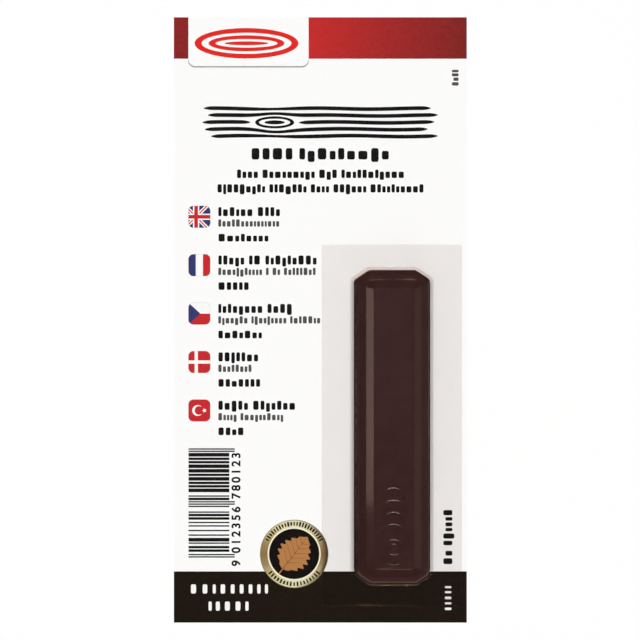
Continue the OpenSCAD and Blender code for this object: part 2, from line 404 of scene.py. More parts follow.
def bar_sides():
    """Direction and distance of the bar's four sides and four corner cuts, going round."""
    turn = math.atan2(CUT_WIDTH, CUT_LENGTH)
    reach = (BAR_WIDTH / 2 - CUT_WIDTH) * math.cos(turn) + BAR_LENGTH / 2 * math.sin(turn)
    quarter = [(0.0, BAR_WIDTH / 2), (turn, reach), (math.pi / 2, BAR_LENGTH / 2), (math.pi - turn, reach)]
    return quarter + [(angle + math.pi, far) for angle, far in quarter]


def bar_ring(out, height, steps):
    """One level loop round the bar, out from its foot line. Its corners are rounder lower down."""
    corner = FOOT_CORNER + out * CORNER_GROWTH
    sides = bar_sides()
    loop = []
    for (a, reach_a), (b, reach_b) in zip(sides, sides[1:] + [(2 * math.pi, sides[0][1])]):
        p, q = reach_a + out - corner, reach_b + out - corner
        turn = math.sin(b - a)
        x = (p * math.sin(b) - q * math.sin(a)) / turn
        y = (q * math.cos(a) - p * math.cos(b)) / turn
        loop += arc(bar_middle.x + x, bar_middle.y + y, corner, a, b, steps)
    return [(x, y, BAR_FOOT + height) for x, y in loop]


def rim_ring(inset, z, corner, steps):
    """One level loop round the rim, with as many points as a loop round the bar."""
    mid, half = (cover_low + cover_high) / 2, (cover_high - cover_low) / 2
    line = rounded_outline(mid.x, mid.y, half.x - inset - corner, half.y - inset - corner, corner,
                           2 * steps + 1)
    return [(x, y, z) for x, y in line]


def span(bm, loops):
    """Quads between each loop and the next. Returns the vertices of the first and last loop."""
    rows = [[bm.verts.new(p) for p in loop] for loop in loops]
    for low, high in zip(rows, rows[1:]):
        for i in range(len(low)):
            j = (i + 1) % len(low)
            bm.faces.new((low[i], low[j], high[j], high[i]))
    return rows[0], rows[-1]


def smooth_over(piece):
    """Smooth shading that keeps the large faces flat."""
    piece.data.polygons.foreach_set("use_smooth", [True] * len(piece.data.polygons))
    level = piece.modifiers.new("flat faces stay flat", "WEIGHTED_NORMAL")
    level.weight = 100
    level.keep_sharp = False


def motif_height(x, y):
    """Height of the raised motif at places measured from the bar's middle."""
    half = LINE_WIDTH / 2
    line = MOTIF_RADIUS - half

    def from_ring(mid_y, radius):
        return np.abs(np.hypot(x, y - mid_y) - radius)

    def from_arch(mid_y, side):
        ends = np.minimum(np.hypot(x - line, y - mid_y), np.hypot(x + line, y - mid_y))
        return np.where((y - mid_y) * side > 0, from_ring(mid_y, line), ends)

    heart = np.maximum(np.hypot(x, y - KNOT_Y) - MOTIF_RADIUS * HEART_SHARE + half, 0)
    away = [from_ring(KNOT_Y, MOTIF_RADIUS * KNOT_SHARE - half), heart, from_arch(BOWL_Y, -1)]
    away += [from_arch(KNOT_Y + i * ARCH_PITCH, 1) for i in range(1, ARCHES + 1)]
    # Each line has sides of 35 degrees, rounded into its crest and foot
    side = LINE_HEIGHT / math.tan(math.radians(35))
    t = (np.minimum.reduce(away) - 0.03 * MM) / side
    blend = 0.12
    t = np.where(t < blend, np.maximum(t + blend, 0) ** 2 / (4 * blend), t)
    t = np.where(t > 1 - blend, 1 - np.maximum(1 - t + blend, 0) ** 2 / (4 * blend), t)
    return LINE_HEIGHT * (1 - t)


def round_net(across, along):
    """The places of a net's edge points, as column and row, going round from the lower left."""
    return [(i, 0) for i in range(across)] + [(across, j) for j in range(along)] + [
        (i, along) for i in range(across, 0, -1)] + [(0, j) for j in range(along, 0, -1)]


def wax_bar():
    """The bar: one closed skin with soft edges, whose flat top takes in a fine net for the motif."""
    bm = bmesh.new()
    foot, shoulder, brow, crown = section(0, 0)
    line = rounded_line([(-0.5 * MM, 0), foot, shoulder, brow, crown, (crown[0] - 0.08 * MM, BAR_HEIGHT)],
                        BAR_EDGES)
    steps = 4
    under, top = span(bm, [bar_ring(out, z, steps) for out, z in line])
    bm.faces.new(under[::-1])
    across, along, halvings = 96, 256, 5
    reach, margin = MOTIF_RADIUS + 0.1 * MM, 0.06 * MM
    low = BOWL_Y - reach
    high = KNOT_Y + ARCHES * ARCH_PITCH + reach
    xs = np.linspace(-reach, reach, across + 1)
    ys = np.linspace(low, high, along + 1)
    rises = motif_height(xs[None, :], ys[:, None])
    net = [[bm.verts.new((bar_middle.x + x, bar_middle.y + y, BAR_FOOT + BAR_HEIGHT + rises[j, i]))
            for i, x in enumerate(xs)] for j, y in enumerate(ys)]
    for j in range(along):
        for i in range(across):
            bm.faces.new((net[j][i], net[j][i + 1], net[j + 1][i + 1], net[j + 1][i]))
    # Flat loops round the net, each with half as many points
    loop = [net[j][i] for i, j in round_net(across, along)]
    for k in range(1, halvings + 1):
        across, along = across // 2, along // 2
        grow = k * margin
        xs = np.linspace(-reach - grow, reach + grow, across + 1)
        ys = np.linspace(low - grow, high + grow, along + 1)
        wider = [bm.verts.new((bar_middle.x + xs[i], bar_middle.y + ys[j], BAR_FOOT + BAR_HEIGHT))
                 for i, j in round_net(across, along)]
        for i in range(len(wider)):
            near = [loop[2 * i], loop[2 * i + 1], loop[(2 * i + 2) % len(loop)]]
            bm.faces.new([wider[i], wider[(i + 1) % len(wider)]] + near[::-1])
        loop = wider
    # Four flat faces join the last loop to the corners of the top edge, going round from the right
    per = steps + 1
    turns = [per - 1, 3 * per, 5 * per - 1, 7 * per, 9 * per - 1]
    firsts = [across + along, 2 * across + along, 2 * (across + along), 2 * (across + along) + across]
    counts = [across, along, across, along]
    for begin, end, first, count in zip(turns, turns[1:], firsts, counts):
        side = [loop[(first + i) % (2 * (across + along))] for i in range(count + 1)]
        bm.faces.new([top[i % len(top)] for i in range(begin, end + 1)] + side[::-1])
    bmesh.ops.recalc_face_normals(bm, faces=bm.faces)
    # The walls and the ends have the duller finish
    for face in bm.faces:
        from_middle = abs(face.calc_center_median().y - bar_middle.y)
        on_end = abs(face.normal.y) > 0.2 and from_middle > BAR_LENGTH / 2 - TOP_INSET - 0.35 * MM
        face.material_index = 1 if abs(face.normal.z) < 0.3 or on_end else 0
    waxes = [material("hard pigmented wax, cast", cast_wax, 0.5),
             material("hard pigmented wax, mould walls", cast_wax, 0.0)]
    smooth_over(finished("wax_bar", bm, waxes, "stick", ["wax_stick"]))


def formed_cover():
    """The clear sheet: one closed skin from the chamber's top, down its walls, out along the rim,
    round the rim's cut edge and back up inside."""
    drop = BAR_FOOT - cover_low.z
    steps = 5
    foot, shoulder, brow, crown = section(COVER_GAP + SHEET, drop - SHEET)
    foot_in, shoulder_in, brow_in, crown_in = section(COVER_GAP, drop)
    fold = 0.6 * MM
    rim_spot = (foot[0] + 3 * fold, foot[1])
    # The radii of its folds, from the crown down outside and from the foot up inside
    outer = rounded_line([(crown[0] - 0.2 * MM, crown[1]), crown, brow, shoulder, foot, rim_spot],
                         [0.6 * MM, 0.45 * MM, 0.9 * MM, fold])
    inner = rounded_line([(foot_in[0] + 3 * fold, foot_in[1]), foot_in, shoulder_in, brow_in, crown_in,
                          (crown_in[0] - 0.2 * MM, crown_in[1])],
                         [fold + SHEET, 0.55 * MM, 0.45 * MM, 0.25 * MM])
    top, under = cover_low.z + SHEET, cover_low.z
    loops = [bar_ring(out, z, steps) for out, z in outer]
    cut = rounded_line([(0.5 * MM, top), (0, top), (0, under), (0.5 * MM, under)], [0.25 * MM, 0.05 * MM])
    loops += [rim_ring(inset, z, 0.6 * MM - inset, steps) for inset, z in cut]
    loops += [bar_ring(out, z, steps) for out, z in inner]
    bm = bmesh.new()
    first, last = span(bm, loops)
    bm.faces.new(first[::-1])
    bm.faces.new(last)
    bmesh.ops.recalc_face_normals(bm, faces=bm.faces)
    sheet = material("clear polyester sheet, vacuum formed", formed_clear_sheet)
    smooth_over(finished("formed_cover", bm, [sheet], "cover", ["cover"]))


def flat_spatula():
    """The tool under the bar: the CAD solid with its mould edges softened."""
    bm = bmesh.new()
    bm.from_mesh(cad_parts["spatula"].data)
    bmesh.ops.remove_doubles(bm, verts=bm.verts, dist=0.002 * MM)
    bmesh.ops.dissolve_limit(bm, angle_limit=math.radians(1), verts=bm.verts, edges=bm.edges)
    plastic = material("natural polypropylene, injection moulded", moulded_polypropylene)
    piece = finished("flat_spatula", bm, [plastic], "spatula", ["spatula"])
    soften = piece.modifiers.new("softened mould edges", "BEVEL")
    soften.width = 0.12 * MM
    soften.segments = 3
    soften.limit_method = "ANGLE"
    soften.angle_limit = math.radians(35)
    smooth_over(piece)


# PRINT
# It is laid out in millimetres, right and down from the card's upper left corner.

PRINT_LEFT = 3.75


def on_card(right, down):
    """A place on the printed face, in metres."""
    return card_low.x + right * MM, card_high.y - down * MM


def ellipse(x, y, wide, high, steps):
    """A line once round this middle, with its half width and half height in millimetres."""
    turns = [i / steps * 2 * math.pi for i in range(steps + 1)]
    return [(x + wide * MM * math.cos(a), y + high * MM * math.sin(a)) for a in turns]


def band(inner, outer):
    """Quads between two lines of as many points."""
    return [[a, b, c, d] for a, b, c, d in zip(inner, outer, outer[1:], inner[1:])]


def printed(name, shapes, level, materials, numbers=None, thickness=INK):
    """Flat closed shapes of ink that stand on level, each a list of (x, y) corners."""
    bm = bmesh.new()
    for k, shape in enumerate(shapes):
        face = bm.faces.new([bm.verts.new((x, y, level + thickness)) for x, y in shape])
        face.material_index = numbers[k] if numbers else 0
        face.normal_update()
        if face.normal.z < 0:
            face.normal_flip()
    bmesh.ops.remove_doubles(bm, verts=bm.verts, dist=0.001 * MM)
    bmesh.ops.solidify(bm, geom=bm.faces[:], thickness=thickness)
    bmesh.ops.recalc_face_normals(bm, faces=bm.faces)
    finished(name, bm, materials, "backing")


def block_tree():
    """Geometry Nodes that set a small rounded block of ink on each point of a mesh, with the size
    and the turn that the point carries."""
    tree = bpy.data.node_groups.new("set ink blocks", "GeometryNodeTree")
    sockets = (("Geometry", "NodeSocketGeometry"), ("Corner", "NodeSocketFloat"),
               ("Ink thickness", "NodeSocketFloat"), ("Ink", "NodeSocketMaterial"))
    for name, kind in sockets:
        tree.interface.new_socket(name, in_out="INPUT", socket_type=kind)
    tree.interface.new_socket("Geometry", in_out="OUTPUT", socket_type="NodeSocketGeometry")
    given = add(tree, "NodeGroupInput").outputs
    square = add(tree, "GeometryNodeCurvePrimitiveQuadrilateral", {"Width": 1.0, "Height": 1.0})
    soft = add(tree, "GeometryNodeFilletCurve", {"Curve": square, "Count": 3, "Radius": given["Corner"]},
               mode="POLY")
    flat = add(tree, "GeometryNodeFillCurve", {"Curve": soft}, mode="NGONS")
    raised = add(tree, "GeometryNodeExtrudeMesh", {"Mesh": flat, "Individual": False,
                                                   "Offset Scale": given["Ink thickness"]})
    under = add(tree, "GeometryNodeFlipFaces", {"Mesh": flat})
    block = add(tree, "GeometryNodeJoinGeometry", {"Geometry": raised})
    tree.links.new(under.outputs[0], block.inputs["Geometry"])
    closed = add(tree, "GeometryNodeMergeByDistance", {"Geometry": block, "Distance": 1e-7})
    size, turn = [add(tree, "GeometryNodeInputNamedAttribute", {"Name": name}, data_type="FLOAT_VECTOR")
                  for name in ("block_size", "block_turn")]
    spread = add(tree, "GeometryNodeInstanceOnPoints", {
        "Points": given["Geometry"], "Instance": closed, "Rotation": turn, "Scale": size})
    real = add(tree, "GeometryNodeRealizeInstances", {"Geometry": spread})
    inked = add(tree, "GeometryNodeSetMaterial", {"Geometry": real, "Material": given["Ink"]})
    add(tree, "NodeGroupOutput", {"Geometry": inked})
    return tree


def ink_blocks(name, tree, blocks, level, ink):
    """A piece made of ink blocks, each (x, y, width, height, turn)."""
    mesh = bpy.data.meshes.new(name + " places")
    mesh.from_pydata([(x, y, level) for x, y, *_ in blocks], [], [])
    sizes = mesh.attributes.new("block_size", "FLOAT_VECTOR", "POINT")
    turns = mesh.attributes.new("block_turn", "FLOAT_VECTOR", "POINT")
    for i, (_, _, width, height, turn) in enumerate(blocks):
        sizes.data[i].vector = (width, height, 1)
        turns.data[i].vector = (0, 0, turn)
    places = placed(name + " places", mesh)
    setter = places.modifiers.new("set ink blocks", "NODES")
    setter.node_group = tree
    # The corner's radius is a share of a block's width and height
    wanted = {"Corner": 0.22, "Ink thickness": INK, "Ink": ink}
    for socket in tree.interface.items_tree:
        if socket.in_out == "INPUT" and socket.name in wanted:
            setter[socket.identifier] = wanted[socket.name]
    made = as_mesh(places)
    made.name = name
    finished(name, made, [ink], "backing")


# Letter blocks: how deep a tail hangs, how high a short letter stands and how wide the space between
# words is, as shares of a tall letter's height, and how often a letter has a tail or stands tall
TAIL_DEPTH, SHORT_HEIGHT, WORD_SPACE = 0.22, 0.76, 0.38
TAIL_CHANCE, TALL_CHANCE = 0.1, 0.3


def word_blocks(chance, left, base, cap, widths, room, body, turn=0.0, capitals=False):
    """Blocks that stand in for a line of words of these widths: one for each letter, tall or short at
    random. The base line starts at left and base, and cap is the height of a tall letter. A letter's
    room is that share of cap, and its block fills the share body of the room."""
    blocks = []
    cap *= MM
    along = 0.0
    origin = Vector(on_card(left, base))
    for width in [one * MM for one in widths]:
        letters = max(1, round(width / (cap * room)))
        shares = [chance.uniform(0.75, 1.3) for _ in range(letters)]
        for k, share in enumerate(shares):
            pitch = width * share / sum(shares)
            low = chance.random() < TAIL_CHANCE and k > 0 and not capitals
            tall = k == 0 or chance.random() < TALL_CHANCE or capitals
            foot = -TAIL_DEPTH * cap if low else 0.0
            head = cap if tall else cap * SHORT_HEIGHT
            middle = Vector((along + pitch * 0.42, (foot + head) / 2))
            middle.rotate(Matrix.Rotation(turn, 2))
            place = origin + middle
            blocks.append((place.x, place.y, pitch * body, head - foot, turn))
            along += pitch
        along += cap * WORD_SPACE
    return blocks


# Flags: one rounded square each, down the left side of the card, with three lines of words beside it.
# Each line has its ink, its drop from the flag's top, its cap height, and a letter's room and body.
FLAG_TOP, FLAG_PITCH = 48.3, 12.4
FLAG_SIZE, FLAG_CORNER = 5.55, 1.25
FLAG_TEXT_LEFT = 11.3
FLAG_LINES = (("heavy", 2.6, 2.3, 0.66, 0.7), ("light", 5.3, 1.85, 0.58, 0.7),
              ("heavy", 9.1, 1.95, 0.8, 0.71))
FLAG_WORDS = [
    ([9.2, 6.1], [15.9], [13.2]), ([7.0, 3.3, 13.5], [11.5, 1.0, 2.2, 8.4], [8.2]),
    ([11.7, 6.7], [7.8, 9.2, 8.0], [11.5]), ([10.6], [8.8], [11.1]),
    ([8.0, 11.3], [5.0, 11.2], [6.9])]


def card_words(tree):
    """Blocks in place of the lettering, in its inks, sizes and lines."""
    chance = random.Random(7)
    upright = math.pi / 2
    lines = [("heavy", 19.7, 36.4, 2.9, [11.2, 23.6], 0.95, 0.7),
             ("heavy", 16.1, 41.15, 2.15, [5.7, 13.7, 4.9, 16.4], 0.72, 0.74),
             ("heavy", 11.1, 44.85, 2.1, [12.5, 9.8, 5.0, 8.7, 13.9], 0.68, 0.74)]
    for row, words in enumerate(FLAG_WORDS):
        top = FLAG_TOP + row * FLAG_PITCH
        lines += [(ink, FLAG_TEXT_LEFT, top + drop, cap, widths, room, body)
                  for (ink, drop, cap, room, body), widths in zip(FLAG_LINES, words)]
    lines += [("light", 72.9, 17.55, 1.7, [4.3], 0.64, 0.74, upright),
              ("heavy", 71.3, 140.2, 2.3, [4.0, 9.6], 0.72, 0.68, upright),
              ("white", PRINT_LEFT, 147.55, 2.35, [21.0], 0.95, 0.43, 0.0, True),
              ("white", 8.55, 151.95, 2.35, [11.2], 0.95, 0.47, 0.0, True),
              ("white", 71.05, 152.1, 1.65, [6.9], 0.85, 0.42, upright, True)]
    blocks = {"heavy": [], "light": [], "white": []}
    for ink, *line in lines:
        blocks[ink] += word_blocks(chance, *line)
    for ink, name, code, level, slot in (
            ("heavy", "black ink", "#110F0E", FACE, "dark_ink"),
            ("light", "black ink, fine type", "#53504C", FACE, "dark_ink"),
            ("white", "opaque white ink", "#F6F5F2", FILM_TOP, "board")):
        ink_blocks(ink + "_words", tree, blocks[ink], level, offset_ink(name, code))


def heading_grain():
    """A wood grain figure in place of the heading: five lines that part round a knot."""
    left, middle_y = on_card(7.3, 26.9)
    length, knot_x, knot_reach = 60.3, 18.5, 6.2
    pitch, bulge, wave, wave_length = 1.76, 0.62, 0.13, 4.3
    thick, thinner, taper, tip = 0.49, 0.14, 2.4, 0.02
    shapes = []
    for row, start, short in ((-2, 2.2, 0.0), (-1, 0.6, 2.6), (0, 0.0, 0.9), (1, 1.4, 0.0), (2, 0.3, 1.8)):
        parts = [(start, length - short)]
        if row == 0:
            parts = [(start, knot_x - knot_reach), (knot_x + knot_reach, length - short)]
        for begin, end in parts:
            upper, lower = [], []
            for x in np.linspace(begin, end, 241):
                near = math.exp(-((x - knot_x) / knot_reach) ** 2 * 1.6)
                y = row * pitch + math.copysign(near, row) * (bulge if abs(row) == 1 else 0.0)
                y += wave * math.sin(x / wave_length + row * 0.5)
                half = thick - thinner * near * (1.1 if abs(row) == 2 else 1.0)
                ends = min(x - begin, end - x, taper) / taper
                half = max(half * math.sin(ends * math.pi / 2) ** 0.6, tip)
                upper.append((left + x * MM, middle_y + (y + half) * MM))
                lower.append((left + x * MM, middle_y + (y - half) * MM))
            shapes += band(lower, upper)
    outer, inner, heart = [ellipse(left + knot_x * MM, middle_y, wide, high, 48)
                           for wide, high in ((5, 1.55), (4, 0.95), (2.6, 0.5))]
    shapes += band(inner, outer) + [heart[:-1]]
    printed("heading_grain", shapes, FACE, [offset_ink("black ink, heading", "#0F0D0C")])


def tab_mark():
    """An end-grain knot of nested rings in red on the tab, and the tab's printed shadow."""
    middle = on_card(18.6, 6.65)
    rings = [ellipse(*middle, wide, high, 96)
             for wide, high in ((11.5, 2.7), (13.3, 3.9), (7.9, 1.1), (9.7, 2.05), (5.6, 0.5))]
    shapes = band(*rings[:2]) + band(*rings[2:4]) + [rings[4][:-1]]
    printed("tab_mark", shapes, FACE, [offset_ink("red ink, mark", "#E3251F")])
    # The shadow runs round the tab's two lower corners and thins out up its sides
    x0, foot = card_low.x + HEADER_LEFT, card_high.y - 12.55 * MM
    x1, bend, quarter = x0 + TAB_WIDTH, 1.8 * MM, math.pi / 2
    path = [(x0, foot + bend * 1.3, 0)]
    for x, start in ((x0 + bend, 2 * quarter), (x1 - bend, 3 * quarter)):
        path += [(px, py, 1) for px, py in arc(x, foot + bend, bend, start, start + quarter, 10)]
    path += [(x1, foot + bend * 1.3, 0)]
    for name, ink, code, out, width, thickness in (
            ("tab_shadow_soft", "pale grey ink", "#DCDBD9", 0.42 * MM, 0.42 * MM, INK),
            ("tab_shadow", "grey ink", "#8E8D8C", 0.2 * MM, 0.24 * MM, INK * 2)):
        inside, outside = [], []
        for x, y, full in path:
            away = Vector((x - min(max(x, x0 + bend), x1 - bend), y - foot - bend))
            away = away.normalized() if away.length > 1e-9 else Vector((0, -1))
            fall = max(0.0, -away.y) ** 0.6 * full
            near, far = out - width, out - width + max(width * fall, 0.01 * MM)
            inside.append((x + away.x * near, y + away.y * near))
            outside.append((x + away.x * far, y + away.y * far))
        printed(name, band(inside, outside), FACE, [offset_ink(ink, code)], thickness=thickness)


# The flags' fields, where u and v run from -1 to 1 across and up a flag
RED, WHITE, BLUE = 0, 1, 2
UNION_MIDDLE = -0.3


def union_paint(u, v):
    u -= UNION_MIDDLE
    off = min(abs(u - v), abs(u + v)) / math.sqrt(2)
    if min(abs(u), abs(v)) < 0.17:
        return RED
    if min(abs(u), abs(v)) < 0.29:
        return WHITE
    return RED if off < 0.055 else WHITE if off < 0.16 else BLUE


def slants(offset):
    """Cuts parallel to both diagonals through the union flag's middle, this far out on either side."""
    turn = math.sqrt(0.5)
    return [(UNION_MIDDLE + side * offset * nx, side * offset * ny, nx, ny)
            for side in (-1, 1) for nx, ny in ((turn, turn), (turn, -turn))]


def square_cuts(*offsets):
    """Upright and level cuts through the union flag's middle, this far out on either side."""
    return [(UNION_MIDDLE + o * side, 0, 1, 0) for o in offsets for side in (-1, 1)] + [
        (0, o * side, 0, 1) for o in offsets for side in (-1, 1)]


def moon_and_star(x, y, half):
    """A crescent and a five-pointed star on a flag of this half width, whose middle is here."""
    moon_x, star_x = x - 0.16 * half, x + 0.47 * half
    outer = arc(moon_x, y, 0.5 * half, 0.75, 2 * math.pi - 0.75, 28)
    bite = arc(moon_x + 0.13 * half, y, 0.4 * half, 1.02, 2 * math.pi - 1.02, 28)
    spikes = [(0.24 if k % 2 == 0 else 0.1) * half for k in range(10)]
    return band(bite, outer) + [[(star_x + r * math.cos(math.pi + k * math.pi / 5),
                                  y + r * math.sin(math.pi + k * math.pi / 5)) for k, r in enumerate(spikes)]]


def printed_flags():
    """Five small national flags. Each rounded square is cut along the lines between its colours."""
    # Each cut is a point on it and its normal
    flags = [
        (square_cuts(0.17, 0.29) + slants(0.055) + slants(0.16), union_paint),
        ([(-1 / 3, 0, 1, 0), (1 / 3, 0, 1, 0)],
         lambda u, v: BLUE if u < -1 / 3 else WHITE if u < 1 / 3 else RED),
        ([(0, 0, 0, 1), (0.1, 0, 1, 1.1), (0.1, 0, 1, -1.1)],
         lambda u, v: BLUE if u < 0.1 - abs(v) * 1.1 else WHITE if v > 0 else RED),
        ([(-0.44, 0, 1, 0), (-0.14, 0, 1, 0), (0, -0.15, 0, 1), (0, 0.15, 0, 1)],
         lambda u, v: WHITE if abs(u + 0.29) < 0.15 or abs(v) < 0.15 else RED),
        ([], lambda u, v: RED)]
    shapes, numbers, edges = [], [], []
    half, bend = FLAG_SIZE / 2 * MM, FLAG_CORNER * MM
    outline = rounded_outline(0, 0, half - bend, half - bend, bend, 7)
    for row, (cuts, paint) in enumerate(flags):
        x, y = on_card(PRINT_LEFT + FLAG_SIZE / 2, FLAG_TOP + row * FLAG_PITCH + FLAG_SIZE / 2)
        edges.append([(x + px * 1.02, y + py * 1.02) for px, py in outline])
        bm = bmesh.new()
        bm.faces.new([bm.verts.new((px / half, py / half, 0)) for px, py in outline])
        for px, py, nx, ny in cuts:
            bmesh.ops.bisect_plane(bm, geom=bm.verts[:] + bm.edges[:] + bm.faces[:], dist=1e-6,
                                   plane_co=(px, py, 0), plane_no=(nx, ny, 0))
        for face in bm.faces:
            middle = face.calc_center_median()
            shapes.append([(x + v.co.x * half, y + v.co.y * half) for v in face.verts])
            numbers.append(paint(middle.x, middle.y))
        bm.free()
    inks = [offset_ink(name + " ink, flags", code)
            for name, code in (("red", "#C8252B"), ("white", "#FAFAF7"), ("blue", "#34376F"))]
    printed("flag_edges", edges, FACE, [offset_ink("grey ink, flag edges", "#B4AFAC")])
    printed("flag_fields", shapes, FACE, inks, numbers, thickness=INK * 2)
    # The last flag, where the loop has just ended, carries a crescent and a star
    printed("flag_signs", moon_and_star(x, y, half), FACE + INK * 2, [inks[WHITE]])


def stripe_code():
    """A stripe code of a made-up number, standing on its side, and its plain digits."""
    chance = random.Random(11)
    module, ink_spread = 0.294 * MM, 0.03 * MM
    left, top = on_card(PRINT_LEFT, 110.4)
    long_bar, guard = 10.45 * MM, 11.85 * MM
    digit_widths = [(3, 2, 1, 1), (2, 2, 2, 1), (2, 1, 2, 2), (1, 4, 1, 1), (1, 1, 3, 2),
                    (1, 2, 3, 1), (1, 1, 1, 4), (1, 3, 1, 2), (1, 2, 1, 3), (3, 1, 1, 2)]
    # A run is a stripe's width in modules and its length, or a gap's width with a minus sign
    gap, line = (-1, 0), (1, guard)
    runs = [line, gap, line]
    for side in range(2):
        for _ in range(6):
            for k, width in enumerate(chance.choice(digit_widths)):
                runs.append((width if k % 2 != side else -width, long_bar))
        runs += [line, gap, line] if side else [gap, line, gap, line, gap]
    shapes, y = [], top
    for width, reach in runs:
        low = y - abs(width) * module
        if width > 0:
            foot, head = low - ink_spread, y + ink_spread
            shapes.append([(left, foot), (left + reach, foot), (left + reach, head), (left, head)])
        y = low
    ink = offset_ink("black ink, code", "#0F0D0C")
    printed("stripe_code", shapes, FACE, [ink])
    code_digits(ink)


def code_digits(ink):
    """The plain digits beside the code. They read upwards, at an even pitch. Each is laid four times, a
    hair apart, for the spread of the ink."""
    foot, pitch, hair = 16.95, 2.08, 0.035 * MM
    bm = bmesh.new()
    for digits, first in (("9", 139.8), ("012356", 136.45), ("780123", 122.6)):
        for k, digit in enumerate(digits):
            curve = bpy.data.curves.new("digit", "FONT")
            curve.body = digit
            curve.align_x = "CENTER"
            curve.size = 3.05 * MM
            curve.offset = 0.05 * MM
            curve.extrude = INK / 2
            mesh = as_mesh(placed("digit", curve))
            x, y = on_card(foot, first - k * pitch)
            mesh.transform(Matrix.Translation((x, y, FACE + INK / 2)) @ Matrix.Rotation(math.pi / 2, 4, "Z"))
            for step, (right, up) in enumerate(((-1, -1), (2, 0), (0, 2), (-2, 0))):
                mesh.transform(Matrix.Translation((right * hair, up * hair, INK / 5 if step else 0)))
                bm.from_mesh(mesh)
    bmesh.ops.remove_doubles(bm, verts=bm.verts, dist=0.0001 * MM)
    bmesh.ops.recalc_face_normals(bm, faces=bm.faces)
    finished("code_digits", bm, [ink], "backing")


def seal_rings(tree):
    """Two printed lines round the seal, and fine marks in place of its lettering."""
    x, y = seal_middle.x, seal_middle.y
    for name, inner, outer, colour, code in (
            ("seal_line", DISC_RADIUS - 0.05 * MM, DISC_RADIUS + 0.32 * MM, "cream ink, seal", "#F6F1D6"),
            ("seal_edge", SEAL_RADIUS - 0.14 * MM, SEAL_RADIUS, "brown ink, seal edge", "#6E6340")):
        ring = band(*[arc(x, y, radius, 0, 2 * math.pi, 72) for radius in (inner, outer)])
        printed(name, ring, seal_high.z, [offset_ink(colour, code, 0.3)])
    chance = random.Random(3)
    radius = (DISC_RADIUS + SEAL_RADIUS) / 2 + 0.12 * MM
    marks = []
    for start, end, count in ((155, 25, 23), (215, 325, 17)):
        for k in range(count):
            angle = math.radians(start + (end - start) * (k + 0.5) / count)
            marks.append((x + radius * math.cos(angle), y + radius * math.sin(angle),
                          chance.uniform(0.34, 0.52) * MM, chance.choice((0.95, 1.2)) * MM,
                          angle - math.pi / 2))
    ink_blocks("seal_marks", tree, marks, seal_high.z, offset_ink("black ink, seal", "#1A1610"))


def seal_leaf():
    """A notched leaf with its stem and veins, which leans across the seal."""
    length, base, half = 11.2 * MM, 0.8 * MM, 0.09 * MM
    turn = Matrix.Rotation(math.radians(52), 2)

    def on_leaf(along, out):
        spot = turn @ Vector((along - length / 2, out))
        return seal_middle.x + spot.x, seal_middle.y - 0.1 * MM + spot.y

    def leaf_half(share):
        return 3.9 * MM * math.sin(math.pi * share ** 0.85) ** 0.8

    left, right = [], []
    for t in np.linspace(0, 1, 81):
        out = max(leaf_half(t) * (1 + 0.13 * math.sin(t * 44)), 0.02 * MM)
        left.append(on_leaf(base + t * (length - base), out))
        right.append(on_leaf(base + t * (length - base), -out))
    stem = [on_leaf(-0.9 * MM, 0.16 * MM), on_leaf(-0.9 * MM, -0.16 * MM), on_leaf(1.4 * MM, -0.14 * MM),
            on_leaf(1.4 * MM, 0.14 * MM)]
    printed("seal_leaf", band(right, left) + [stem], seal_high.z,
            [offset_ink("ochre ink, leaf", "#B47C48")])
    veins = [[on_leaf(1.0 * MM, half), on_leaf(1.0 * MM, -half), on_leaf(length * 0.93, -half * 0.4),
              on_leaf(length * 0.93, half * 0.4)]]
    for k in range(1, 6):
        root = length * (0.12 + 0.135 * k)
        reach = leaf_half(root / length) * 0.82
        for side in (-1, 1):
            veins.append([on_leaf(root - half, 0), on_leaf(root + half, 0),
                          on_leaf(root + reach * 0.75 + half * 0.4, side * reach),
                          on_leaf(root + reach * 0.75 - half * 0.4, side * reach)])
    printed("leaf_veins", veins, seal_high.z + INK, [offset_ink("brown ink, veins", "#7A4A22")])


# STUDIO

SKY_STRENGTH = 0.7
FLOOR_GLOW = 0.75


def seen_rays(tree):
    """1 for a ray that shows the surroundings: straight, mirrored or through glass."""
    path = add(tree, "ShaderNodeLightPath").outputs
    first = add(tree, "ShaderNodeMath", {0: path["Is Camera Ray"], 1: path["Is Glossy Ray"]},
                operation="MAXIMUM")
    return add(tree, "ShaderNodeMath", {0: first, 1: path["Is Transmission Ray"]}, operation="MAXIMUM")


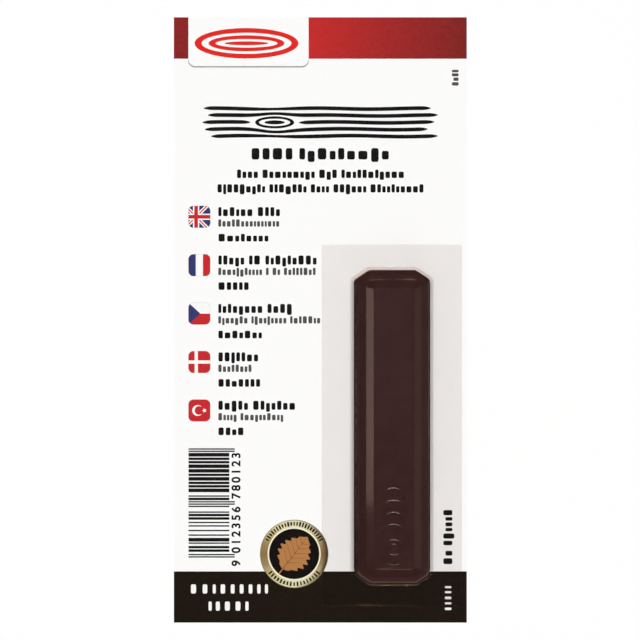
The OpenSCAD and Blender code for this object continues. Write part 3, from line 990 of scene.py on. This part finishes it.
def studio_air():
    """A soft sky that adds to the box overhead. It is brightest in a band from end to end of the bar, so
    that neither long side throws a shadow. What shines shows a studio that is white at the horizon and
    dark overhead."""
    world = bpy.data.worlds.new("studio")
    bpy.context.scene.world = world
    world.use_nodes = True
    tree = world.node_tree
    tree.nodes.clear()
    way = add(tree, "ShaderNodeTexCoord").outputs["Generated"]
    part = add(tree, "ShaderNodeSeparateXYZ", {0: way}).outputs
    view = add(tree, "ShaderNodeValToRGB", {"Fac": part["Z"]}, stops=(
        (0.0, "#FFFFFF"), (0.05, "#FBFBFB"), (0.13, "#767676"), (0.35, "#3C3C3C"), (1.0, "#2E2E2E")))
    aside = add(tree, "ShaderNodeMapRange", {"Value": part["X"], "From Min": -1.0})
    sky = add(tree, "ShaderNodeValToRGB", {"Fac": aside}, stops=(
        (0.0, "#6C6C6C"), (0.3, "#6C6C6C"), (0.45, "#FFFFFF"), (0.55, "#FFFFFF"), (0.7, "#4A4A4A"),
        (1.0, "#4A4A4A")))
    light = add(tree, "ShaderNodeVectorMath", {0: sky, "Scale": SKY_STRENGTH}, operation="SCALE")
    shade = add(tree, "ShaderNodeMix", {0: seen_rays(tree), 6: light, 7: view}, data_type="RGBA")
    straight = add(tree, "ShaderNodeLightPath").outputs["Is Camera Ray"]
    white = add(tree, "ShaderNodeMix", {0: straight, 6: shade, 7: tone("#FFFFFF")}, data_type="RGBA")
    glow = add(tree, "ShaderNodeBackground", {"Color": white, "Strength": 1.0})
    add(tree, "ShaderNodeOutputWorld", {"Surface": glow})


def white_table(tree, _):
    """Matt white laminate, which the camera sees nearly white and which keeps the pack's shadow."""
    matt = add(tree, "ShaderNodeBsdfDiffuse", {"Color": tone("#FDFDFD")})
    glow = add(tree, "ShaderNodeEmission", {"Color": tone("#FFFFFF"), "Strength": 1.0})
    part = add(tree, "ShaderNodeMath", {0: seen_rays(tree), 1: FLOOR_GLOW}, operation="MULTIPLY")
    return add(tree, "ShaderNodeMixShader", {0: part, 1: matt, 2: glow})


def pale_floor():
    bm = bmesh.new()
    bmesh.ops.create_grid(bm, x_segments=1, y_segments=1, size=3.0,
                          matrix=Matrix.Translation((0, 0, cad_box[0].z - 0.02 * MM)))
    mesh = bpy.data.meshes.new("floor")
    bm.to_mesh(mesh)
    bm.free()
    mesh.materials.append(material("white table", white_table))
    placed("floor", mesh)


def lamp(name, aim, azimuth, tilt, distance, wide, tall, brightness, colour="#FFFFFF", lights=True,
         glints=True):
    """A soft panel whose face is as bright as brightness times white. Tilt is from straight up. One
    without glints shows in nothing that shines, and one that doesn't light shows only there."""
    data = bpy.data.lights.new(name, "AREA")
    data.shape = "RECTANGLE"
    data.size, data.size_y = wide, tall
    data.energy = brightness * math.pi * wide * tall
    data.color = tone(colour)[:3]
    made = placed(name, data)
    made.visible_camera = False
    made.visible_diffuse = lights
    made.visible_glossy = glints
    turn, lean = math.radians(azimuth), math.radians(tilt)
    way = Vector((math.sin(lean) * math.cos(turn), math.sin(lean) * math.sin(turn), math.cos(lean)))
    made.location = Vector(aim) + way * distance
    made.rotation_euler = way.to_track_quat("Z", "Y").to_euler()


def studio_lamps():
    # A soft box right overhead, which leaves hardly any shade round the bar
    lamp("soft box, overhead", (0, 0, 0), 0, 0, 1.5, 0.44, 0.44, 26.8, glints=False)
    # A long box beyond the top end, and warm and white small ones beyond the foot and a corner, which
    # only give glints, along the cover's folds and on the raised motif
    lamp("long box, top", (bar_middle.x, -55 * MM, bar_high.z), 90, 62, 1.8, 2.2, 0.2, 24, lights=False)
    lamp("small box, foot", (67 * MM, -60 * MM, 0), -90, 31, 0.9, 0.1, 0.08, 26, "#FFD0A6",
         lights=False)
    lamp("small box, corner", (0, 0, 0), 57, 38, 0.9, 0.08, 0.08, 8, lights=False)
    # Strip lights whose mirror images lie on the bar's left bevel and along its right shoulder, and a
    # dim panel for its right bevel
    lamp("strip, left", (bar_low.x + 4 * MM, -41 * MM, bar_high.z), 180, 41.6, 0.6, 0.172, 0.12, 1.35,
         "#FFEDE4")
    lamp("strip, right", (bar_high.x, -41 * MM, bar_high.z), 0, 87, 0.6, 0.118, 0.05, 5)
    lamp("dim panel, right", (bar_high.x, -30 * MM, bar_high.z), 0, 45, 0.6, 0.3, 0.14, 0.32,
         "#FFDCD0")


def camera_above():
    """Straight down on the card's middle from 350 mm, as the photograph was taken."""
    scene = bpy.context.scene
    height, field = 350 * MM, 163.9 * MM
    data = bpy.data.cameras.new("camera")
    data.sensor_width = 36.0
    data.lens = data.sensor_width * height / field
    made = placed("camera", data)
    made.location = (-0.08 * MM, -0.01 * MM, FACE + height)
    scene.camera = made
    scene.view_settings.view_transform = "Standard"


def main():
    camera_above()
    studio_air()
    studio_lamps()
    pale_floor()
    for node, made in (
            ("card", material("coated bleached board, lacquered", bleached_board)),
            ("header_print", material("offset red ink, graded", graded_red_ink)),
            ("footer_print", offset_ink("dark brown ink", "#1C140C", 0.35, 0.004)),
            ("seal_ring", material("hot stamped gold foil", hot_stamped_foil)),
            ("seal_disc", offset_ink("black ink, seal disc", "#100D0B", 0.35, 0.004))):
        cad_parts[node].material_slots[0].material = made
    wax_bar()
    formed_cover()
    flat_spatula()
    tree = block_tree()
    card_words(tree)
    heading_grain()
    tab_mark()
    printed_flags()
    stripe_code()
    seal_rings(tree)
    seal_leaf()


main()
